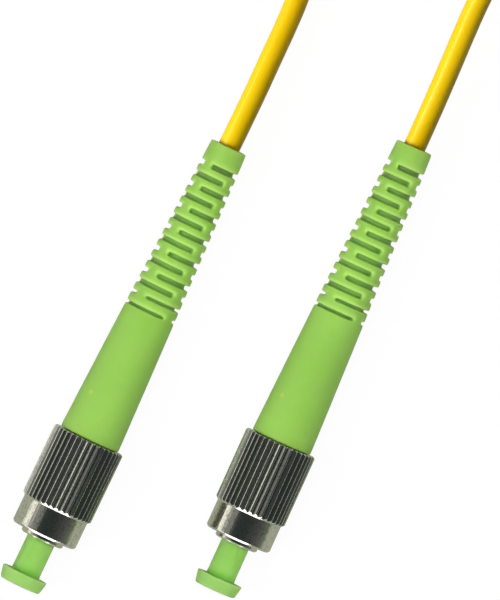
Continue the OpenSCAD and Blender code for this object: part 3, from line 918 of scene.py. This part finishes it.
def boot_green():
    finish = Finish("boot_green", Specular_IOR_Level=0.35, **LIT_THROUGH)
    station, radius = finish.along_and_out()
    share = (station - BOOT_START) * (1 / BOOT_L)
    outer = BOOT_FRONT_R + share * (BOOT_TAIL_R - BOOT_FRONT_R)
    outer = outer + share * (1 - share) * (4 * BOOT_SWELL)
    # painted shade: the deeper a point lies in a slot, the more dark green is painted on it
    in_slot_shade = finish.ramp(outer - radius, *SLOT_SHADE)
    gate_r = boot_radius(GATE_STATION)
    gate = (gate_r * math.cos(GATE_ANGLE), gate_r * math.sin(GATE_ANGLE), GATE_STATION)
    off_gate = finish.vector_maths("DISTANCE", finish.stored("standing", "Vector"), gate)
    in_gate = 1 - finish.ramp(off_gate, *GATE_RIM)
    cloud = finish.noise(90)
    colour = finish.blend(cloud, rgb(133, 179, 76), rgb(150, 193, 93))
    # painted highlight: the slot edges that face the nut are painted a paler green
    colour = finish.blend(finish.stored("lip", "Fac"), colour, rgb(170, 216, 110))
    colour = finish.blend(in_slot_shade * 0.5, colour, rgb(64, 122, 42))
    colour = finish.blend(in_gate * 0.75, colour, rgb(180, 194, 84))
    finish.feed(Base_Color=colour, Roughness=0.46 + cloud * 0.12)
    grain = finish.noise(9000, detail=3)
    finish.bump(grain + in_gate * 2, 0.012 * MM, 0.6)
    return finish.material


# %% [markdown]
# The cap's polyethylene is paler and a little shinier than the boot. Its thin stem is a
# deeper green than its flange, and its foot by the flange gets a painted shade, a darker and
# more saturated green. The cable's jacket is a smooth, saturated yellow with a soft shine.
# The straps are white cloth tape.

# %% Cap, jacket and strap
STEM_EDGE = (CAP_STEM_R, CAP_STEM_R + 0.2)  # radii between which the stem's green fades
# the painted shade at the stem's foot fades out between these stations
STEM_FOOT_SHADE = (CAP_FLANGE_L, CAP_FLANGE_L + 1.3)  # stations between which the foot's does


def cap_green():
    finish = Finish("cap_green", Specular_IOR_Level=0.45, **LIT_THROUGH)
    cloud = finish.noise(160, detail=3)
    station, radius = finish.along_and_out()
    on_stem = 1 - finish.ramp(radius, *STEM_EDGE)
    # painted shade where the stem meets the flange
    foot_shade = on_stem * (1 - finish.ramp(station, *STEM_FOOT_SHADE))
    colour = finish.blend(cloud, rgb(130, 175, 88), rgb(152, 194, 111))
    colour = finish.blend(on_stem * 0.3, colour, rgb(124, 198, 60))
    finish.feed(
        # painted shade: the stem's foot is painted a darker, more saturated green
        Base_Color=finish.blend(foot_shade * 0.6, colour, rgb(88, 164, 24)),
        Roughness=0.34 + cloud * 0.14,
    )
    finish.bump(finish.noise(5000, detail=3), 0.01 * MM, 0.5)
    return finish.material


def jacket_yellow():
    finish = Finish("jacket_yellow", Specular_IOR_Level=0.35, Specular_Tint=(1, 0.92, 0.6, 1))
    cloud = finish.noise(140, detail=3)
    finish.feed(
        Base_Color=finish.blend(cloud, rgb(238, 190, 6), rgb(248, 208, 16)),
        Roughness=0.24 + cloud * 0.08,
    )
    finish.bump(finish.noise(2600, detail=4), 0.008 * MM, 0.5)
    return finish.material


def tie_white():
    finish = Finish("tie_white", Specular_IOR_Level=0.2)
    weave = finish.noise(4200, detail=4)
    finish.feed(
        Base_Color=finish.blend(weave, rgb(206, 206, 200), rgb(240, 240, 236)),
        Roughness=0.75 + weave * 0.15,
    )
    finish.bump(weave, 0.05 * MM, 0.8)
    return finish.material


# %% [markdown]
# Nickel plating is a mirror with a slightly smoky tone. What makes it look like metal that
# was machined is its roughness: cloudy where it was handled, and finely scored where the
# lathe's tool went round. One recipe serves the frame, the crimp parts and the springs. The
# nut shows most, so it gets its own, with darker stains, and with duller valleys in its
# knurl that also get a painted shade.

# %% Metals
FEED_WAVES = math.tau / 0.32
KNURL_FADE = (0.1, 0.7)  # distances from the knurl's ends between which it sets in
# the painted valley shade sets in between these depths below the ridges
VALLEY_DEPTHS = (0.03, 0.11)  # depths below the ridges between which a valley starts
STAIN_EDGE = (0.5, 0.62)  # noise levels between which a stain starts


def plated(name, dark, light, roughness):
    """Plain metal with cloudy, finely scored plating."""
    finish = Finish(name, Metallic=1.0)
    cloud = finish.noise(700, detail=5)
    speck = finish.noise(5200, detail=2)
    finish.feed(
        Base_Color=finish.blend(cloud, dark, light),
        Roughness=roughness + cloud * 0.12 + speck * 0.05,
    )
    finish.bump(finish.noise(2400, detail=3), 0.004 * MM, 0.5)
    return finish.material


def nut_nickel():
    """Plating with stains, and with the lathe's feed marks, which run round the nut."""
    finish = Finish("nut_nickel", Metallic=1.0)
    cloud = finish.noise(700, detail=5)
    speck = finish.noise(6000, detail=2)
    station, radius = finish.along_and_out()
    wave = station * FEED_WAVES + cloud * 9
    feed = finish.node("ShaderNodeMath", {"operation": "SINE"}, {0: wave})
    near, far = KNURL_FADE
    in_knurl = finish.ramp(station, KNURL_START + near, KNURL_START + far)
    in_knurl = in_knurl * (1 - finish.ramp(station, NUT_END - far, NUT_END - near))
    # painted shade: the knurl's valleys are painted a darker blue grey, and are also made rougher
    in_shaded_valley = finish.ramp(KNURL_R - radius, *VALLEY_DEPTHS) * in_knurl
    stain = finish.ramp(finish.noise(2600, detail=4), *STAIN_EDGE)
    plating = finish.blend(cloud, rgb(206, 204, 198), rgb(224, 222, 216))
    plating = finish.blend(stain * 0.35, plating, rgb(120, 138, 138))
    finish.feed(
        # painted shade in the knurl's valleys
        Base_Color=finish.blend(in_shaded_valley * 0.3, plating, rgb(116, 134, 150)),
        Roughness=0.03 + cloud * 0.1 + stain * 0.1 + in_shaded_valley * 0.1,
    )
    grain = speck * 1.5 + finish.noise(1500, detail=4) * 1.6
    finish.bump(feed * 0.25 + grain, 0.006 * MM, 0.7)
    return finish.material


# %% [markdown]
# The hidden pieces get their own finishes too, because they show when the nut slides or
# the cap comes off: ground white zirconia, clear glass, the buffer's ivory plastic and the
# golden aramid yarn with its fine threads.

# %% Inner materials
def cloudy(name, waves, dark, light, roughness, spread, **plain):
    """A plain finish whose colour and roughness wander a little."""
    finish = Finish(name, **plain)
    cloud = finish.noise(waves)
    finish.feed(
        Base_Color=finish.blend(cloud, dark, light),
        Roughness=roughness + cloud * spread,
    )
    return finish.material


def aramid():
    finish = Finish("aramid", Specular_IOR_Level=0.4)
    threads = finish.noise(3000, detail=4, stretch=(1, 0.06, 1))
    finish.feed(
        Base_Color=finish.blend(threads, rgb(196, 160, 70), rgb(238, 208, 120)),
        Roughness=0.45 + threads * 0.2,
    )
    finish.bump(threads, 0.04 * MM, 0.8)
    return finish.material


finishes = {
    "boot_green": boot_green(),
    "cap_green": cap_green(),
    "jacket_yellow": jacket_yellow(),
    "tie_white": tie_white(),
    "nut_nickel": nut_nickel(),
    "frame_nickel": plated("frame_nickel", rgb(206, 203, 195), rgb(218, 215, 207), 0.12),
    "crimp_nickel": plated("crimp_nickel", rgb(206, 204, 198), rgb(218, 216, 210), 0.2),
    "spring_steel": plated("spring_steel", rgb(170, 170, 172), rgb(200, 200, 202), 0.22),
    "zirconia": cloudy(
        "zirconia", 900, rgb(238, 237, 230), rgb(250, 249, 244), 0.12, 0.08,
        Specular_IOR_Level=0.8, Coat_Weight=0.3, Subsurface_Weight=0.2, Subsurface_Scale=0.5 * MM,
    ),
    "glass_core": cloudy(
        "glass_core", 500, rgb(226, 240, 246), rgb(240, 248, 252), 0.02, 0.03,
        Transmission_Weight=0.9, IOR=1.46,
    ),
    "buffer_white": cloudy(
        "buffer_white", 600, rgb(232, 230, 218), rgb(246, 245, 236), 0.35, 0.1,
        Specular_IOR_Level=0.5,
    ),
    "aramid": aramid(),
}

print("finishes:", ", ".join(finishes))

# %% [markdown]
# ## Dressing the pieces
#
# The record says which slot each CAD node takes its finish from, so the carried-over nodes
# get theirs in one loop. The new pieces say it themselves.

# %% Assign finishes
def dress(piece, slot):
    piece.data.materials.clear()
    piece.data.materials.append(finishes[slot])


for part in frame["record"]["subparts"]:
    dress(frame["nodes"][part["node"]], part["material_slot"])
for slot, pieces in (
    ("boot_green", boots),
    ("nut_nickel", nuts),
    ("cap_green", caps),
    ("spring_steel", springs),
    ("tie_white", straps),
    ("jacket_yellow", [cable]),
):
    for piece in pieces:
        dress(piece, slot)
    print(slot, "on", len(pieces), "new pieces")

# %% [markdown]
# ## The studio floor
#
# The floor is one wide sheet of paper. Lit by lamps alone it would be grey and uneven, so it
# glows white to the camera, and faintly to anything shiny, with the yellow green that such a
# cord throws on it. It is also a little matt, so that it keeps the object's shadow.

# %% Floor
FLOOR_SIZE = 12.0
FLOOR_DROP = 0.00002
PAPER_GLOW = 1.2
SEEN_GLOW = 0.775
MIRRORED_GLOW = 0.15
MIRRORED_TINT = (0.86, 1, 0.4, 1)
MATT_GREY = (0.28, 0.28, 0.28, 1)
WHITE = (1, 1, 1, 1)

bpy.ops.object.select_all(action="DESELECT")
bpy.ops.mesh.primitive_plane_add(size=FLOOR_SIZE, location=(0, 0, -FLOOR_DROP))
floor = bpy.context.active_object
floor.name = "studio_floor"

paper = Finish("floor_paper")
by_camera, by_mirror, by_glass = (
    paper.node("ShaderNodeLightPath", out=f"Is {ray} Ray")
    for ray in ("Camera", "Glossy", "Transmission")
)
share = by_camera * SEEN_GLOW + by_mirror * MIRRORED_GLOW + by_glass * MIRRORED_GLOW
matt = paper.node("ShaderNodeBsdfDiffuse", inputs={"Color": MATT_GREY})
tint = paper.blend(by_camera, MIRRORED_TINT, WHITE)
glow = paper.node("ShaderNodeEmission", inputs={"Color": tint, "Strength": PAPER_GLOW})
mixed = paper.node("ShaderNodeMixShader", inputs={0: share, 1: matt, 2: glow})
paper.join(paper.tree.nodes["Material Output"].inputs["Surface"], mixed)
floor.data.materials.append(paper.material)

print("floor:", FLOOR_SIZE, "m wide")

# %% [markdown]
# ## The lamps
#
# The lamps are soft boxes of two kinds. The first kind lights the matt plastics and shows in
# no reflection: a key from the left, a fill from the right, one overhead and a weak one from
# the cable's side. Light linking works like the flags and small lamps of a studio. It keeps
# the fill and the overhead lamp off the cable, whose far side stays deep, and gives the cable
# a key of its own and the caps a fill.
#
# The second kind only shows in reflections, because a mirror is drawn by what it reflects.
# Three strips at the left, brightest near the ground, draw the collar's highlight and the
# lit side of the ridges, and a small card in front catches the chamfers. One more strip
# draws the soft shine along the cable.

# %% Lamps
def soft_box(name, azimuth, elevation, distance, size, power, colour=(1, 1, 1), glossy=False):
    """An area lamp aimed at the view's centre, this many metres from it.

    Azimuth 0 is at the right of the frame and 90 at its top.
    """
    across = math.cos(math.radians(azimuth)) * view_right
    across += math.sin(math.radians(azimuth)) * view_up
    way = math.cos(math.radians(elevation)) * across
    way.z = math.sin(math.radians(elevation))
    lamp = bpy.data.lights.new(name, "AREA")
    lamp.shape = "RECTANGLE"
    lamp.size, lamp.size_y = size
    lamp.energy = power
    lamp.color = colour
    box = bpy.data.objects.new(name, lamp)
    bpy.context.scene.collection.objects.link(box)
    box.location = VIEW_CENTRE + way * distance
    box.rotation_mode = "QUATERNION"
    box.rotation_quaternion = way.to_track_quat("Z", "Y")
    box.visible_camera = False
    box.visible_glossy = glossy
    box.visible_diffuse = not glossy
    return box


STRIP_L = 0.7
STRIP_DISTANCE = 0.5
STRIP_COLOUR = (1, 0.97, 0.88)
LEFT_STRIPS = (  # name, elevation, width, power
    ("low_strip", 12.5, 0.2, 0.47),
    ("middle_strip", 30, 0.1, 0.075),
    ("high_strip", 45, 0.23, 0.1),
)

soft_box("key", 182, 47, 0.7, (0.4, 0.4), 3.4)
fill = soft_box("fill", 350, 40, 0.8, (0.6, 0.6), 1.9)
overhead = soft_box("overhead", 65, 88, 0.7, (0.4, 0.4), 3.3)
soft_box("cable_side", 65, 35, 0.7, (0.4, 0.3), 0.45)
for name, elevation, width, power in LEFT_STRIPS:
    size = (STRIP_L, width)
    soft_box(name, 180, elevation, STRIP_DISTANCE, size, power, STRIP_COLOUR, glossy=True)
soft_box("front_card", 240, 3, 0.085, (0.1, 0.02), 0.018, glossy=True)


def aim(name, lamps, pieces, state="INCLUDE"):
    """Lets these lamps light only these pieces or, with EXCLUDE, all but these."""
    group = bpy.data.collections.new(name)
    for piece in pieces:
        group.objects.link(piece)
    for entry in group.collection_objects:
        entry.light_linking.link_state = state
    for lamp in lamps:
        lamp.light_linking.receiver_collection = group


aim("cable_flag", [fill, overhead], [cable], "EXCLUDE")
cable.visible_glossy = False  # keeps the coil's yellow out of the nuts' rear chamfers
cable_key = soft_box("cable_key", 182, 34, 0.7, (0.4, 0.4), 3.5)
cable_shine = soft_box(
    "cable_shine", 178, 27, STRIP_DISTANCE, (STRIP_L, 0.08), 1.7, glossy=True
)
aim("cable_only", [cable_key, cable_shine], [cable])
aim("caps_only", [soft_box("cap_fill", 335, 15, 0.8, (0.6, 0.3), 1.8)], caps)

print("lamps:", len(bpy.data.lights))

# %% [markdown]
# ## The sky
#
# A polished nut mirrors the whole room. White all round would leave it flat, so the sky is a
# dim greenish grey that darkens upwards, which gives the nickel its dark middle. It is white
# only where the camera looks at it.

# %% Sky
SKY_STOPS = (
    (0, (0.18, 0.23, 0.14, 1)),
    (0.45, (0.105, 0.11025, 0.105, 1)),
    (0.8, (0.065, 0.06825, 0.065, 1)),
    (1, (0.035, 0.045, 0.042, 1)),
)

world = bpy.data.worlds.new("studio_world")
bpy.context.scene.world = world
world.use_nodes = True
sky = Nodes(world.node_tree)
sky.tree.nodes.clear()
direction = sky.node("ShaderNodeTexCoord", out="Generated")
height = sky.node("ShaderNodeSeparateXYZ", inputs={"Vector": direction}, out="Z")
dim = sky.node("ShaderNodeValToRGB", {"stops": SKY_STOPS}, {0: height})
dim_sky, white_sky = (
    sky.node("ShaderNodeBackground", inputs={"Color": colour}) for colour in (dim, WHITE)
)
seen = sky.node("ShaderNodeLightPath", out="Is Camera Ray")
either = sky.node("ShaderNodeMixShader", inputs={0: seen, 1: dim_sky, 2: white_sky})
sky.node("ShaderNodeOutputWorld", inputs={"Surface": either})

bpy.context.scene.view_settings.view_transform = "Standard"

print("sky stops:", len(SKY_STOPS))

# %% [markdown]
# ## Last step
#
# The dressed model has to keep the CAD model's size. This last cell only brings the view
# layer up to date.

# %% Last update
bpy.context.view_layer.update()
